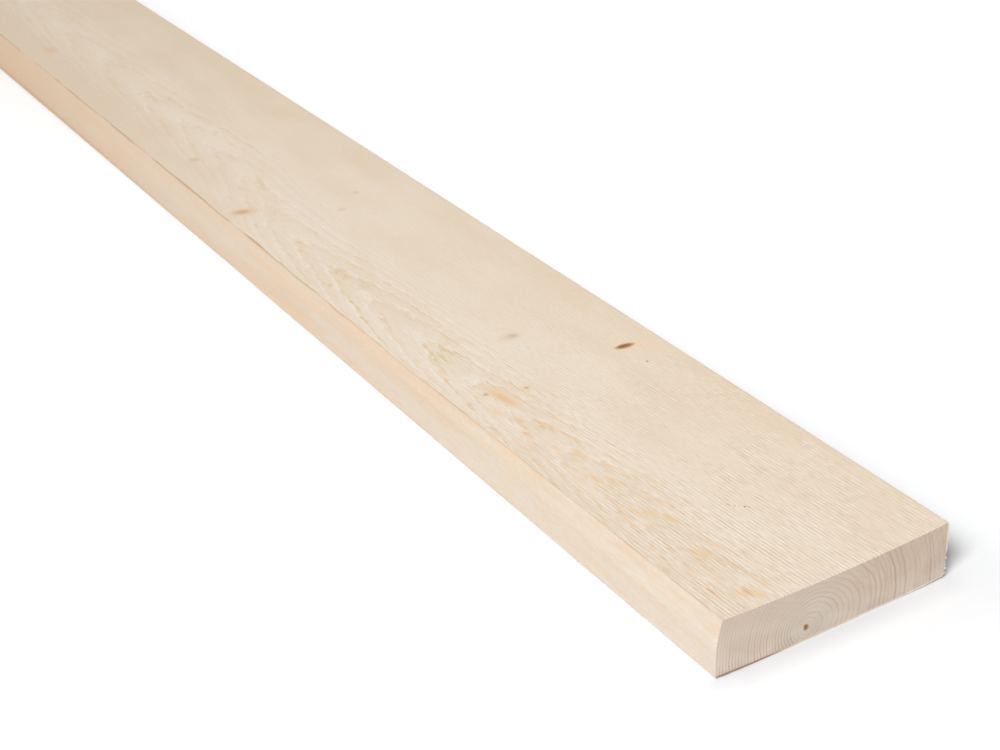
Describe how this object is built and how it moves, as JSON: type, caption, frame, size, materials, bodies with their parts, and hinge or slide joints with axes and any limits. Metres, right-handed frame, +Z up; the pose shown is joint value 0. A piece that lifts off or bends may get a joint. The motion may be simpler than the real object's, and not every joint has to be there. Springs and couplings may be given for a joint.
{
  "type": "timber lumber plank",
  "caption": "Sawn softwood plank with one square edge and one waney edge, lightly cupped, lying flat.",
  "frame": {"origin": "on the floor, under the middle of the plank", "axes": "+X along the plank towards the end that shows the pith in the picture, +Y across it towards the square edge, +Z up"},
  "size_m": [1.8, 0.1, 0.0231],
  "materials": {
    "sawn_spruce": "rough sawn, unfinished"
  },
  "bodies": {
    "root": {"plank": "sawn_spruce"}
  },
  "joints": []
}
